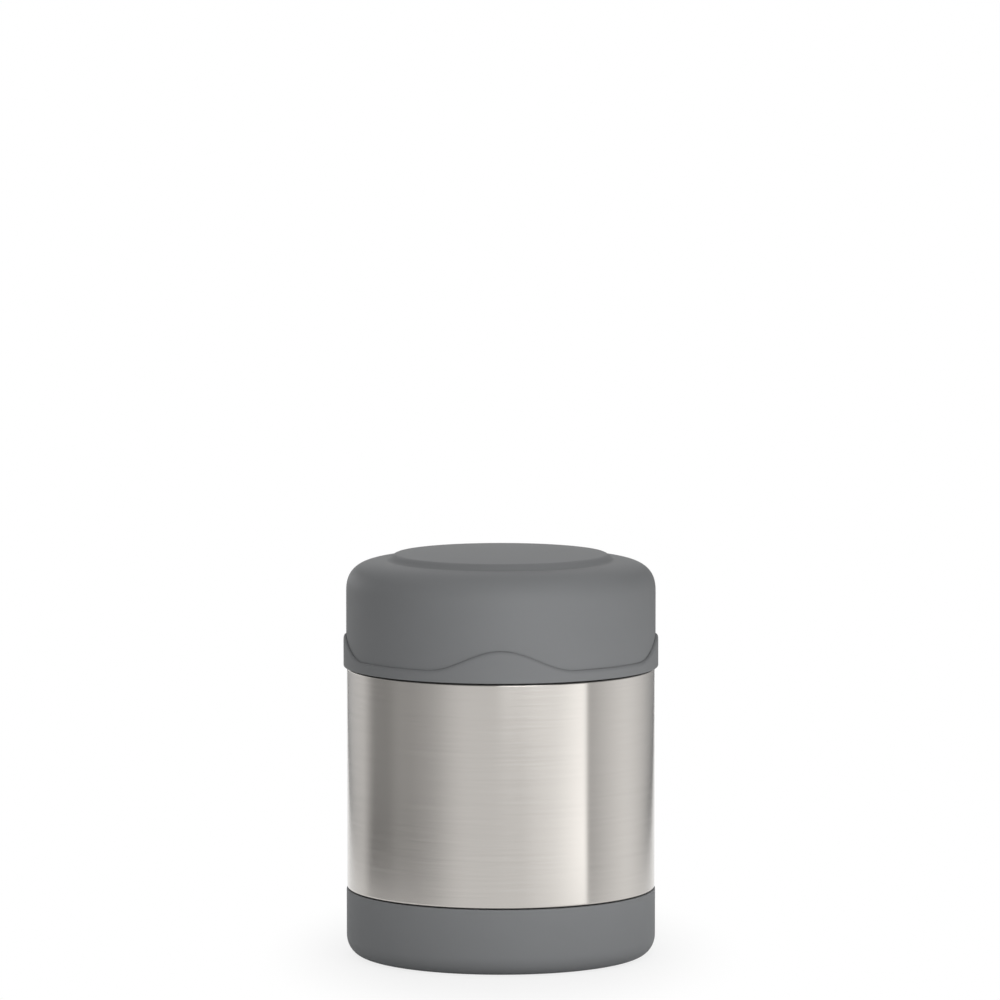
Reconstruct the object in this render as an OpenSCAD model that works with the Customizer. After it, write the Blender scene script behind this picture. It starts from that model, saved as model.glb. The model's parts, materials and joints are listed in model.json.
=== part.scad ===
// Insulated food jar: a double-walled steel jar on a moulded base cup, with a foam-filled screw lid.
// Millimetres, +Z up. The origin is the middle of the base, on the surface that the jar stands on.

/* [Jar] */
// Outside diameter of the steel wall
steel_d = 89.4; // [80:0.2:104]
// Height of the steel shoulder that the lid closes down to
shoulder_z = 83.9; // [70:0.1:130]
// Height of the neck, from the shoulder to the lip
neck_h = 15.9; // [14:0.1:20]
// Width of the shoulder, from the steel wall in to the neck
shoulder_w = 6.1; // [5.9:0.1:7]
// Width of the lip, from the neck in to the food space
lip_w = 2.6; // [2.2:0.1:4]
// Thickness of the outer steel sheet
steel_t = 0.6; // [0.4:0.05:0.8]
// Thickness of the inner steel sheet
inner_t = 0.5; // [0.3:0.05:0.7]
// Radius of the steel wall's edge at the shoulder
edge_r = 1; // [0.7:0.1:1.4]
// Radius of the steel wall's edge above the base cup
foot_edge_r = 0.65; // [0.6:0.05:0.8]
// Radius of the bend where the steel wall tucks into the base cup
tuck_bend_r = 0.5; // [0.3:0.05:0.6]
// Height of the steel wall's lower end above the pan's underside
tuck_lift = 1; // [0.8:0.1:2]

/* [Food space] */
// Height of the food space's floor
cavity_floor_z = 15.5; // [13:0.5:22]
// Radius round the edge of the floor
cavity_corner_r = 6; // [4:0.5:9]
// Height above the floor of the weld between the inner wall and the inner bottom
inner_weld_h = 11.5; // [10:0.5:40]
// Radius of the lip's inner edge
lip_r = 1.2; // [0.9:0.1:1.3]

/* [Neck and thread] */
// Radius between the neck and the shoulder
neck_fillet_r = 1.5; // [0.8:0.1:1.6]
// Rise of the thread in one turn
thread_lead = 12; // [10.5:0.5:14]
// Number of thread starts
thread_starts = 3; // [2:1:4]
// Height of a neck ridge above the root
thread_depth = 1.1; // [0.8:0.05:1.2]
// Width of a ridge at its root
ridge_root_w = 1.8; // [1.5:0.1:1.9]
// Width of a ridge at its crest
ridge_crest_w = 0.9; // [0.6:0.1:1]
// Length of each neck ridge, in turns
neck_ridge_turns = 0.6; // [0.45:0.05:0.65]
// Length of each lid ridge, in turns
lid_ridge_turns = 0.4; // [0.2:0.05:0.45]
// Height of the first neck ridge's start above the shoulder
thread_start_h = 3.3; // [3:0.1:3.8]
// How far the lid ridges start round from the neck ridges, in degrees
lid_ridge_lag = 36; // [30:2:50]
// Play between the flanks of the ridges
thread_play = 0.3; // [0.25:0.05:0.5]
// Gap between a ridge's crest and the wall that it faces
crest_gap = 0.4; // [0.3:0.05:0.55]

/* [Outer bottom] */
// Height of the pan's rim
pan_rim_h = 6; // [4:0.5:9]
// Radius of the pan's edge
pan_corner_r = 2.5; // [1.5:0.1:3]
// Radius of the raised middle, at its foot
pan_dimple_r = 12; // [10:0.5:14]
// Height of the raised middle
pan_dimple_h = 2; // [1.5:0.1:2.5]
// Diameter of the hole that the air is drawn out by
vacuum_hole_d = 2.4; // [1.6:0.2:3.2]
// Diameter of the bead that seals it
vacuum_bead_d = 6; // [5:0.5:8]
// Diameter of the bead at its tip
vacuum_bead_tip_d = 4; // [2:0.5:5]
// Height of that bead
vacuum_bead_h = 1.2; // [0.8:0.1:1.6]

/* [Vacuum space] */
// Thickness of the foil
foil_t = 0.15; // [0.1:0.05:0.3]
// Height of the foil wrap's lower edge above the food space's floor
foil_lift = 8; // [5:1:12]
// Distance from the foil wrap's upper edge down from the shoulder
foil_drop = 2; // [1:0.5:6]
// Distance of the foil disc's edge in from the food space's wall
foil_disc_inset = 7; // [6:0.5:16]
// Diameter of the getter pellet
getter_d = 9; // [6:0.5:12]
// Height of the getter pellet
getter_h = 1.8; // [1.2:0.1:2.4]
// Distance of the getter's middle in from the pan's rim
getter_inset = 16.5; // [14:0.5:18]
// Width of the getter's clip
clip_w = 4; // [3:0.5:6]
// Length of each foot of the clip
clip_foot = 3; // [2:0.5:4]
// Thickness of the clip's strip
clip_t = 0.4; // [0.2:0.05:0.6]

/* [Base cup] */
// How far the base cup stands proud of the steel wall
base_proud = 0.2; // [0:0.05:0.6]
// Height of the base cup
base_h = 19.3; // [14:0.1:26]
// Thickness of its side wall
base_wall = 1.65; // [1.4:0.05:2.2]
// Thickness of its floor
base_floor_t = 2; // [1.5:0.1:2.2]
// Depth of the hollow in its underside
base_recess = 0.8; // [0.4:0.1:0.9]
// Width of the ring that it stands on
base_ring_w = 8; // [5:0.5:12]
// Radius of the lower edge, across
base_corner_a = 4.8; // [3.5:0.1:6]
// Radius of the lower edge, upwards
base_corner_b = 5.8; // [4:0.1:7]
// Radius of the upper edge
base_lip_r = 0.4; // [0.2:0.1:0.6]
// Open seam between the cup's edge and the steel wall above it
base_seam = 0.4; // [0.2:0.05:0.8]
// Thickness of the adhesive ring
pad_t = 1.2; // [0.8:0.1:2]
// Distance of the adhesive ring's outer edge in from the pan's rim
pad_outer_inset = 6.5; // [4:0.5:14]
// Distance of its inner edge out from the raised middle of the pan
pad_inner_inset = 3; // [0.5:0.5:10]

/* [Lid] */
// How far the lid's wall stands proud of the steel wall
lid_proud = 0.2; // [0:0.05:1]
// Height of the lid's straight wall above the liner's deck
lid_side_h = 2.4; // [1.2:0.1:12]
// Thickness of the lid's cover
lid_wall = 1.6; // [1.2:0.1:1.8]
// Gap between the closed lid and the shoulder
lid_gap = 0.4; // [0.2:0.05:0.8]
// Width of the rounded shoulder, across
dome_a = 12.2; // [9:0.1:14]
// Height of the rounded shoulder
dome_b = 9.35; // [7:0.05:10.4]
// Fullness of the shoulder's curve: 2 is an ellipse, more is squarer
dome_power = 2.65; // [2:0.05:3]
// Distance from the lid's wall in to the foot of the step round the raised top
disc_inset = 8.7; // [7.6:0.1:14]
// Width of the soft step round the raised top
disc_step_w = 8; // [4:0.2:11]
// Height of the raised top above the shoulder
disc_rise = 2.1; // [1:0.1:3]
// How much the raised top crowns towards its middle
crown = 0.15; // [0:0.05:1]

/* [Grip band] */
// Thickness of the band
band_t = 0.75; // [0.6:0.05:1.2]
// Height of the band between its waves
band_h = 3.3; // [2.5:0.1:8]
// Number of waves
band_waves = 4; // [2:1:6]
// Height of a wave
wave_h = 6; // [2:0.2:9]
// Half the width of a wave, in degrees
wave_half_angle = 28; // [15:1:30]
// Radius of the band's edges
band_edge_r = 0.6; // [0.3:0.05:0.7]

/* [Lid liner and seal] */
// Wall of the plug and the deck
liner_wall = 1.6; // [1.2:0.1:2]
// Wall of the threaded skirt
skirt_wall = 2.2; // [1.8:0.1:2.4]
// Height of the rim at the foot of the skirt
liner_rim_h = 2; // [1.2:0.1:3]
// How far the plug reaches into the mouth
plug_depth = 7.5; // [6:0.5:14]
// Gap between the plug's flange and the mouth
plug_gap = 0.7; // [0.5:0.1:1.2]
// Depth of the groove that holds the sealing ring
groove_depth = 1.3; // [1:0.1:1.4]
// Height of the plug's flange edge below the lip
groove_drop = 1.6; // [1.2:0.1:2.2]
// Thickness of the sealing ring above the lip
seal_t = 1.9; // [1.4:0.1:2.2]
// How far the sealing ring reaches out past the neck's root
seal_reach = 0.3; // [0:0.1:0.8]
// Radius of the plug's lower edge
plug_corner_r = 2; // [1:0.1:3]

/* [Clearances] */
// Gap between pieces that are welded, glued or pressed together
fit_gap = 0.05; // [0.02:0.01:0.1]
// Gap between curved faces of pieces that move apart
run_gap = 0.3; // [0.2:0.05:0.4]
// How far a ridge is sunk into the wall that carries it
sink = 0.25; // [0.15:0.05:0.35]

/* [Hidden] */
$fn = 96;
// Steps in a rounded corner, in one of the band's edges, in a long curve, in the lid's soft step and its crown
corner_steps = 6;
band_corner_steps = 3;
dome_steps = 14;
step_steps = 7;
crown_steps = 4;
// Degrees in a step of a thread ridge and of the band, and the steps that a ridge tapers out over
thread_step = 6;
band_step = 2.5;
taper_steps = 4;
// How far a cut runs past the face that it opens
over = 1;

steel_color = [0.74, 0.73, 0.71];
inner_color = [0.80, 0.80, 0.79];
foil_color = [0.80, 0.55, 0.38];
grey_color = [0.45, 0.46, 0.47];
liner_color = [0.62, 0.63, 0.64];
foam_color = [0.93, 0.90, 0.80];

steel_r = steel_d / 2;
neck_r = steel_r - shoulder_w;
cavity_r = neck_r - lip_w;
base_r = steel_r + base_proud;
lid_r = steel_r + lid_proud;
tuck_r = base_r - base_wall - fit_gap;
pan_r = tuck_r - steel_t - fit_gap;
pan_z = base_recess + base_floor_t + pad_t;
lip_z = shoulder_z + neck_h;
lid_z = shoulder_z + lid_gap;
neck_crest_r = neck_r + thread_depth;
liner_bore_r = neck_crest_r + crest_gap;
liner_crest_r = neck_r + crest_gap;
thread_z = shoulder_z + thread_start_h;
// The lid ridges hang below the neck ridges by the width that both have where they pass, and the play.
ridge_taper = (ridge_root_w - ridge_crest_w) / 2;
ridge_drop = (ridge_root_w + ridge_crest_w) / 2 - ridge_taper * crest_gap / thread_depth + thread_play;
plug_r = cavity_r - plug_gap;
groove_r = plug_r - groove_depth;
// The liner's deck, above the sealing ring, and the lid's top before its raised part.
deck_z = lip_z + fit_gap + seal_t + fit_gap;
dome_top = deck_z + liner_wall + lid_side_h + dome_b;
disc_r = lid_r - disc_inset - disc_step_w;

// ---- Outlines ----

// The unit vector from point a to point b.
function direction(a, b) = (b - a) / norm(b - a);

// The vector turned a quarter to the left.
function left_of(v) = [-v[1], v[0]];

// An arc that replaces corner p between its neighbours a and b, with radius r.
function corner_arc(a, p, b, r, steps) =
    let (u = direction(p, a), w = direction(p, b),
         half = acos(max(-1, min(1, u * w))) / 2,
         centre = p + direction([0, 0], u + w) * r / sin(half),
         from = p + u * r / tan(half) - centre,
         side = sign(left_of(from) * (p + w * r / tan(half) - centre)),
         turn = side * (180 - 2 * half))
    [for (i = [0:steps]) let (k = turn * i / steps)
        centre + [from[0] * cos(k) - from[1] * sin(k), from[0] * sin(k) + from[1] * cos(k)]];

// A corner's place, without its radius.
function flat(corner) = [corner[0], corner[1]];

// A path through corners [x, y, radius]. Its two ends, and any corner of radius 0, stay sharp.
function rounded_path(corners, steps = corner_steps) =
    [for (i = [0:len(corners) - 1])
        each i == 0 || i == len(corners) - 1 || corners[i][2] == 0 ? [flat(corners[i])] :
            corner_arc(flat(corners[i - 1]), flat(corners[i]), flat(corners[i + 1]), corners[i][2], steps)];

// The path moved to its left by d, parallel to itself.
function beside(path, d) =
    [for (i = [0:len(path) - 1])
        let (before = direction(path[max(i - 1, 0)], path[max(i - 1, 0) + 1]),
             after = direction(path[min(i, len(path) - 2)], path[min(i, len(path) - 2) + 1]),
             n = direction([0, 0], left_of(before) + left_of(after)))
        path[i] + n * d / (n * left_of(after))];

function reversed(list) = [for (i = [len(list) - 1:-1:0]) list[i]];

// The closed outline of a sheet of thickness t that lies to the left of a path.
function sheet(path, t) = concat(path, reversed(beside(path, t)));

// ---- Lofted solids ----

// A solid through rows of points. Each row is a closed ring, and a closed loft joins its last row to its first.
module loft(rows, closed) {
    n = len(rows);
    m = len(rows[0]);
    sides = [for (i = [0:n - (closed ? 1 : 2)], j = [0:m - 1])
        let (a = i * m + j, b = (i + 1) % n * m + j,
             c = (i + 1) % n * m + (j + 1) % m, d = i * m + (j + 1) % m)
        each [[a, c, b], [a, d, c]]];
    ends = closed ? [] : [[for (j = [m - 1:-1:0]) j], [for (j = [0:m - 1]) (n - 1) * m + j]];
    polyhedron(points = [for (row = rows) each row], faces = concat(sides, ends));
}

function on_circle(p, angle) = [p[0] * cos(angle), p[0] * sin(angle), p[1]];

// The ridges of a thread, from root radius to crest radius. They climb anticlockwise and taper out at both ends.
module thread_ridges(root, crest, turns, z, lag) {
    outward = sign(crest - root);
    steps = round(turns * 360 / thread_step);
    for (start = [0:thread_starts - 1])
        loft([for (i = [0:steps])
            let (angle = i * turns * 360 / steps,
                 full = min(1, i / taper_steps, (steps - i) / taper_steps),
                 tip = root - outward * sink / 2 + (crest - root + outward * sink / 2) * full,
                 foot = root - outward * sink,
                 h = z + thread_lead * angle / 360,
                 ring = outward > 0 ?
                    [[foot, h - ridge_root_w / 2], [tip, h - ridge_crest_w / 2],
                     [tip, h + ridge_crest_w / 2], [foot, h + ridge_root_w / 2]] :
                    [[tip, h - ridge_crest_w / 2], [foot, h - ridge_root_w / 2],
                     [foot, h + ridge_root_w / 2], [tip, h + ridge_crest_w / 2]])
            [for (p = ring) on_circle(p, angle + lag + start * 360 / thread_starts)]], closed = false);
}

// ---- Jar ----

// The outer wall, from the edge inside the base cup over the shoulder and up the threaded neck.
module outer_shell() {
    color(steel_color) {
        rotate_extrude() polygon(sheet(rounded_path([
            [tuck_r, pan_z + tuck_lift],
            [tuck_r, base_h + base_seam, tuck_bend_r],
            [steel_r, base_h + base_seam, foot_edge_r],
            [steel_r, shoulder_z, edge_r],
            [neck_r, shoulder_z, neck_fillet_r],
            [neck_r, lip_z - inner_t - fit_gap]]), steel_t));
        thread_ridges(neck_r, neck_crest_r, neck_ridge_turns, thread_z, 0);
    }
}

// The pan that closes the outer wall, with a raised middle round the evacuation hole.
module outer_bottom() {
    color(steel_color) rotate_extrude() polygon(sheet(rounded_path([
        [vacuum_hole_d / 2, pan_z + pan_dimple_h],
        [pan_dimple_r - 2 * pan_dimple_h, pan_z + pan_dimple_h, steel_t],
        [pan_dimple_r, pan_z, 2 * steel_t],
        [pan_r, pan_z, pan_corner_r],
        [pan_r, pan_z + pan_rim_h]]), steel_t));
}

// The wall of the food space, curled out over the neck at the lip.
module inner_wall() {
    color(inner_color) rotate_extrude() polygon(sheet(rounded_path([
        [neck_r, lip_z],
        [cavity_r, lip_z, lip_r],
        [cavity_r, cavity_floor_z + inner_weld_h]]), inner_t));
}

module inner_bottom() {
    color(inner_color) rotate_extrude() polygon(sheet(rounded_path([
        [cavity_r, cavity_floor_z + inner_weld_h],
        [cavity_r, cavity_floor_z, cavity_corner_r],
        [0, cavity_floor_z]]), inner_t));
}

module foil_wrap() {
    foil_r = cavity_r + inner_t + run_gap;
    foil_z = cavity_floor_z + foil_lift;
    color(foil_color) translate([0, 0, foil_z]) difference() {
        cylinder(r = foil_r + foil_t, h = shoulder_z - foil_drop - foil_z);
        translate([0, 0, -over]) cylinder(r = foil_r, h = shoulder_z);
    }
}

module foil_disc() {
    color(foil_color) translate([0, 0, cavity_floor_z - inner_t - run_gap - foil_t])
        cylinder(r = cavity_r - foil_disc_inset, h = foil_t);
}

// The pellet lies on the pan, and a spot-welded clip holds it down.
module getter() {
    color("dimgray") translate([pan_r - getter_inset, 0, pan_z + steel_t + fit_gap])
        cylinder(d = getter_d, h = getter_h);
}

module getter_clip() {
    half = getter_d / 2 + run_gap;
    top = getter_h + fit_gap * 2;
    color(inner_color) translate([pan_r - getter_inset, clip_w / 2, pan_z + steel_t]) rotate([90, 0, 0])
        linear_extrude(clip_w) polygon(sheet([
            [-half - clip_foot, 0], [-half, 0], [-half, top],
            [half, top], [half, 0], [half + clip_foot, 0]], clip_t));
}

// The bead that fills the evacuation hole from below.
module vacuum_plug() {
    color("darkgray") translate([0, 0, pan_z + pan_dimple_h]) {
        translate([0, 0, -vacuum_bead_h])
            cylinder(d1 = vacuum_bead_tip_d, d2 = vacuum_bead_d, h = vacuum_bead_h);
        cylinder(d = vacuum_hole_d - 2 * fit_gap, h = steel_t);
    }
}

// The moulded cup that the jar stands in. It stands on a ring, and the middle is hollowed.
module base_cup() {
    floor_z = base_recess + base_floor_t;
    bore_r = base_r - base_wall;
    ring_r = base_r - base_corner_a - base_ring_w;
    color(grey_color) rotate_extrude() polygon(concat(
        [[0, base_recess], [ring_r - base_recess, base_recess], [ring_r, 0]],
        [for (i = [0:dome_steps - 1]) let (k = 90 - 90 * i / dome_steps)
            [base_r - base_corner_a + base_corner_a * cos(k), base_corner_b - base_corner_b * sin(k)]],
        rounded_path([
            [base_r, base_corner_b],
            [base_r, base_h, base_lip_r],
            [bore_r, base_h, 0],
            [bore_r, floor_z, pan_corner_r - steel_t],
            [0, floor_z]])));
}

// The ring of foam tape between the base cup and the pan.
module base_pad() {
    color("dimgray") translate([0, 0, pan_z - pad_t + fit_gap]) difference() {
        cylinder(r = pan_r - pad_outer_inset, h = pad_t - 2 * fit_gap);
        translate([0, 0, -over]) cylinder(r = pan_dimple_r + pad_inner_inset, h = pad_t + 2 * over);
    }
}

// ---- Lid ----

// The soft step round the raised top, as a share of its rise: a smooth S from 0 outside to 1 inside.
function step_share(r) =
    let (t = max(0, min(1, (disc_r + disc_step_w - r) / disc_step_w)))
    t * t * (3 - 2 * t);

// The lid's section from its wall to the axis, set in from the outer face by an inset.
function dome(inset) =
    let (r0 = lid_r - inset, a = dome_a - inset / 2, b = dome_b - inset / 2, top = dome_top - inset,
         shoulder = [for (i = [0:dome_steps]) let (k = 90 * i / dome_steps)
            [r0 - a + a * pow(max(cos(k), 0), 2 / dome_power), top - b + b * pow(sin(k), 2 / dome_power)]],
         step = [for (i = [1:step_steps]) [r0 - a + (disc_r - r0 + a) * i / step_steps, top]],
         middle = [for (i = [crown_steps - 1:-1:0]) [disc_r * i / crown_steps, top]])
    [for (p = concat(shoulder, step, middle))
        [p[0], p[1] + disc_rise * step_share(p[0]) + crown * (1 - pow(min(p[0] / disc_r, 1), 2))]];

module lid_shell() {
    color(grey_color) rotate_extrude() polygon(concat(
        [[lid_r - lid_wall, lid_z], [lid_r, lid_z]], dome(0), reversed(dome(lid_wall))));
}

// How much of a wave's height the band has at an angle.
function wave_share(angle) =
    let (apart = 360 / band_waves,
         off = abs(angle - apart * round(angle / apart)))
    off < wave_half_angle ? (1 + cos(180 * off / wave_half_angle)) / 2 : 0;

// The band round the lid's foot. Its upper edge rises in a smooth wave at each quarter.
module grip_band() {
    inner = lid_r + fit_gap;
    outer = lid_r + fit_gap + band_t;
    color(grey_color) loft([for (angle = [0:band_step:360 - band_step])
        let (top = lid_z + band_h + wave_h * wave_share(angle),
             ring = rounded_path([
                [inner, lid_z], [outer, lid_z, band_edge_r],
                [outer, top, band_edge_r], [inner, top]], band_corner_steps))
        [for (p = ring) on_circle(p, angle)]], closed = true);
}

// The liner: a threaded skirt outside the neck, a deck over the lip, and a hollow plug inside the mouth.
module lid_liner() {
    skirt_r = liner_bore_r + skirt_wall;
    rim_r = lid_r - lid_wall - fit_gap;
    foot_z = lid_z + run_gap;
    plug_z = lip_z - plug_depth;
    color(liner_color) {
        rotate_extrude() polygon(rounded_path([
            [0, plug_z],
            [plug_r, plug_z, plug_corner_r],
            [plug_r, lip_z - groove_drop, 0],
            [groove_r, lip_z - groove_drop, 0],
            [groove_r, deck_z, 0],
            [liner_bore_r, deck_z, run_gap],
            [liner_bore_r, foot_z, 0],
            [rim_r, foot_z, 0],
            [rim_r, foot_z + liner_rim_h, 0],
            [skirt_r, foot_z + liner_rim_h, 0],
            [skirt_r, deck_z + liner_wall, liner_wall],
            [groove_r - liner_wall, deck_z + liner_wall, 0],
            [groove_r - liner_wall, plug_z + liner_wall, plug_corner_r / 2],
            [0, plug_z + liner_wall]]));
        thread_ridges(liner_bore_r, liner_crest_r, lid_ridge_turns,
            thread_z - ridge_drop + thread_lead * lid_ridge_lag / 360, lid_ridge_lag);
    }
}

// The foam fills the lid from the plug's floor up to the cover.
module lid_insulation() {
    gap = 2 * fit_gap;
    foam_z = lip_z - plug_depth + liner_wall + gap;
    foam_r = groove_r - liner_wall - gap;
    color(foam_color) rotate_extrude() polygon(concat(
        rounded_path([
            [0, foam_z],
            [foam_r, foam_z, plug_corner_r / 2],
            [foam_r, deck_z + liner_wall + gap, 0],
            [lid_r - lid_wall - gap, deck_z + liner_wall + gap]]),
        dome(lid_wall + gap)));
}

// The ring sits in the plug's groove. It closes on top of the lip and reaches a little way into the mouth.
module lid_gasket() {
    inner = groove_r + run_gap;
    seat_z = lip_z + fit_gap;
    color("whitesmoke") rotate_extrude() polygon(rounded_path([
        [inner, lip_z - groove_drop + run_gap],
        [cavity_r - run_gap, lip_z - groove_drop + run_gap, run_gap],
        [cavity_r - run_gap, seat_z, 0],
        [neck_r + seal_reach, seat_z, run_gap],
        [neck_r + seal_reach, seat_z + seal_t, run_gap],
        [inner, seat_z + seal_t]]));
}

outer_shell();
outer_bottom();
inner_wall();
inner_bottom();
foil_wrap();
foil_disc();
getter();
getter_clip();
vacuum_plug();
base_cup();
base_pad();
lid_gasket();
lid_liner();
lid_insulation();
lid_shell();
grip_band();
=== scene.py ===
# %% [markdown]
# # An insulated food jar
#
# The jar is two steel walls with a vacuum between them. It stands in a moulded grey cup, and a lid filled
# with foam screws down over its neck. The CAD model holds every real part and size, and this script dresses
# it: it lays finer surfaces over the parts that show, gives each part its finish, and lights them.

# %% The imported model
import json

import bpy
import numpy as np
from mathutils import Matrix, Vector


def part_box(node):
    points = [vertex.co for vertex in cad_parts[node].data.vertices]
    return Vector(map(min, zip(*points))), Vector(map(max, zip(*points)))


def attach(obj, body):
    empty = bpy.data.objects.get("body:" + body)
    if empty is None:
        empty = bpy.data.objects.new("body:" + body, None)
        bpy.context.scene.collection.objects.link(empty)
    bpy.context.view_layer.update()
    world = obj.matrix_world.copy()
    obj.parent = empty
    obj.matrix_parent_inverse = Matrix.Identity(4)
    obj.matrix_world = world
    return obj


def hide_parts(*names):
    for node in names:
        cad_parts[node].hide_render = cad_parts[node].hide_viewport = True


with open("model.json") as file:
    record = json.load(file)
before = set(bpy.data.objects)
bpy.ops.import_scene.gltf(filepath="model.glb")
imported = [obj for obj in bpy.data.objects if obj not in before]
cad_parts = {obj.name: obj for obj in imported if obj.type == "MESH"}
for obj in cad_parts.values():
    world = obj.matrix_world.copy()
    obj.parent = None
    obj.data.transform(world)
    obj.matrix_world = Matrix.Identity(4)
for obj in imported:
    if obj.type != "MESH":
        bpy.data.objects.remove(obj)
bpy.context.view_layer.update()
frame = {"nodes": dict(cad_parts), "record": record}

# %% [markdown]
# ## Sizes
#
# Every new surface has to lie exactly where its CAD part lies, so its size is read from that part. A number
# that no box can give, such as the thickness of a sheet, is a named value in millimetres. Each is written
# where it is first used.

# %% Sizes from the CAD parts
MM = 0.001


def reach(node):
    """A CAD part's outer radius, and its lowest and highest level, in metres."""
    low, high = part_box(node)
    return high.x, low.z, high.z


lid_r, lid_z, lid_top = reach("lid_shell")
grip_r, _, grip_top = reach("grip_band")
steel_r, tuck_z, neck_top = reach("outer_shell")
foot_r, _, foot_h = reach("base_cup")
neck_r, weld_z, lip_z = reach("inner_wall")
well_r, well_low, _ = reach("inner_bottom")
liner_r, liner_z, liner_top = reach("lid_liner")
ring_r, ring_z, ring_top = reach("lid_gasket")
print("steel radius %.1f mm, lid %.1f mm, height %.1f mm" % (steel_r / MM, lid_r / MM, lid_top / MM))

# %% [markdown]
# ## Profiles
#
# Most of the jar is turned, pressed or moulded round one axis. Such a shape is one outline, drawn in the
# plane of radius and height, and carried once round. Real edges are never sharp, so the outline's corners
# are rounded by arcs. Two more points just beyond each arc keep the flat sides flat under smooth shading.

# %% Outlines with rounded corners
HOLD = 0.12 * MM


def unit(vectors):
    """Each vector divided by its own length."""
    return vectors / np.linalg.norm(vectors, axis=-1, keepdims=True)


def rounded(*corners, steps=8):
    """An outline through corners (radius from the axis, height, corner radius).

    The arc's centre lies on the line that halves the corner, at the corner radius over the sine of half the
    angle. The arc touches each side at the corner radius over the tangent of half the angle.
    """
    parts = []
    for before, (r, z, bend), after in zip(corners[:1] + corners, corners, corners[1:] + corners[-1:]):
        corner = np.array([r, z])
        if bend == 0:
            parts.append(corner[None])
            continue
        back, ahead = unit(np.array(before[:2]) - corner), unit(np.array(after[:2]) - corner)
        half = np.arccos(back @ ahead) / 2
        touch = bend / np.tan(half)
        centre = corner + unit(back + ahead) * bend / np.sin(half)
        x, y = corner + back * touch - centre
        end = corner + ahead * touch - centre
        turn = np.sign(x * end[1] - y * end[0]) * (np.pi - 2 * half) * np.linspace(0, 1, steps + 1)
        cos, sin = np.cos(turn), np.sin(turn)
        arc = centre + np.stack([x * cos - y * sin, x * sin + y * cos], 1)
        parts.append(np.vstack([corner + back * (touch + HOLD), arc, corner + ahead * (touch + HOLD)]))
    return np.vstack(parts)


bracket = rounded((0, 0, 0), (9 * MM, 0, MM), (9 * MM, 9 * MM, 0))
print("two sides with one rounded corner take", len(bracket), "points")

# %% [markdown]
# ## Surfaces
#
# Carrying the outline round gives a grid: its rows are the outline's points and its columns are steps of
# the turn. A grid is worked out as whole arrays, which is quick, and a thread or a wave can be added to it
# as one more array. The Spin tool or a Screw modifier could turn a plain outline too, but neither can raise
# a thread on it.

# %% An outline carried round
STEPS_ROUND = 320
TURN = np.linspace(0, 2 * np.pi, STEPS_ROUND, endpoint=False)


def carried(outline, out=0.0, up=0.0):
    """The outline carried round the axis.

    x is the radius plus out, times the turn's cosine, and y is the same times its sine. z is the height
    plus up.
    """
    radius = outline[:, :1] + out + 0 * TURN
    height = outline[:, 1:] + up + 0 * TURN
    return np.stack([radius * np.cos(TURN), radius * np.sin(TURN), height], axis=-1)


print("one step round the axis is", 360 / STEPS_ROUND, "degrees")

# %% [markdown]
# ## Meshes
#
# A grid becomes a mesh when each point is joined to its neighbours. A closed outline gives a ring, whose
# last row joins its first. An outline that starts and ends on the axis gives a solid with two poles: there
# a whole row becomes one point, with triangles round it.

# %% From a grid to a mesh
ON_AXIS = 1e-9  # metres: a smaller radius counts as none


def skin(name, points, wear_and_painted_shade=None, sharp=40):
    """A closed mesh over a grid of points. Its faces point away from the solid.

    The outline's signed area, half the sum of r1 z2 - r2 z1, tells which way it runs. If that is less than
    nothing the rows are turned round, so that every face then points outwards. wear_and_painted_shade is a
    number for each row, kept as an attribute that a material can read. It is above 0 for real wear and
    below
    0 for painted shade.
    """
    r, z = np.hypot(points[:, 0, 0], points[:, 0, 1]), points[:, 0, 2]
    wear_and_painted_shade = np.zeros(len(points)) if wear_and_painted_shade is None else wear_and_painted_shade
    if (r * np.roll(z, -1) - np.roll(r, -1) * z).sum() < 0:
        points, r, wear_and_painted_shade = points[::-1], r[::-1], wear_and_painted_shade[::-1]
    rows, columns = points.shape[:2]
    poles = r[0] < ON_AXIS
    number = np.arange(rows * columns).reshape(rows, columns)
    if poles:
        number = number - columns + 1
        number[0], number[-1] = 0, (rows - 2) * columns + 1
    low, high = number, np.roll(number, -1, axis=0)
    square = np.stack([low, np.roll(low, -1, 1), np.roll(high, -1, 1), high], -1)
    faces = square[1:-2].reshape(-1, 4).tolist() if poles else square.reshape(-1, 4).tolist()
    if poles:
        faces += square[0][:, [0, 2, 3]].tolist() + square[-2][:, [0, 1, 2]].tolist()
        points = np.vstack([points[0, :1], points[1:-1].reshape(-1, 3), points[-1, :1]])
        wear_and_painted_shade = np.concatenate([wear_and_painted_shade[:1], np.repeat(wear_and_painted_shade[1:-1], columns), wear_and_painted_shade[-1:]])
    else:
        points, wear_and_painted_shade = points.reshape(-1, 3), np.repeat(wear_and_painted_shade, columns)
    mesh = bpy.data.meshes.new(name)
    mesh.from_pydata(points.tolist(), [], faces)
    mesh.attributes.new("wear_and_painted_shade", "FLOAT", "POINT").data.foreach_set("value", wear_and_painted_shade.astype(np.float32))
    mesh.polygons.foreach_set("use_smooth", np.ones(len(faces), bool))
    mesh.set_sharp_from_angle(angle=np.radians(sharp))
    piece = bpy.data.objects.new(name, mesh)
    bpy.context.scene.collection.objects.link(piece)
    return piece


print("a ring takes", STEPS_ROUND, "faces for each row of its grid")

# %% [markdown]
# ## What a piece stands for
#
# Each new surface takes the place of a CAD part. It moves with that part's body, so that the cover rises
# with the lid.

# %% A piece's body and part
def seat(piece, body, slot, *nodes):
    """Makes a piece move with its body, and stand for its CAD parts. The slot is not used."""
    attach(piece, body)
    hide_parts(*nodes)
    print(piece.name, "stands for", ", ".join(nodes), "with", len(piece.data.polygons), "faces")


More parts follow.
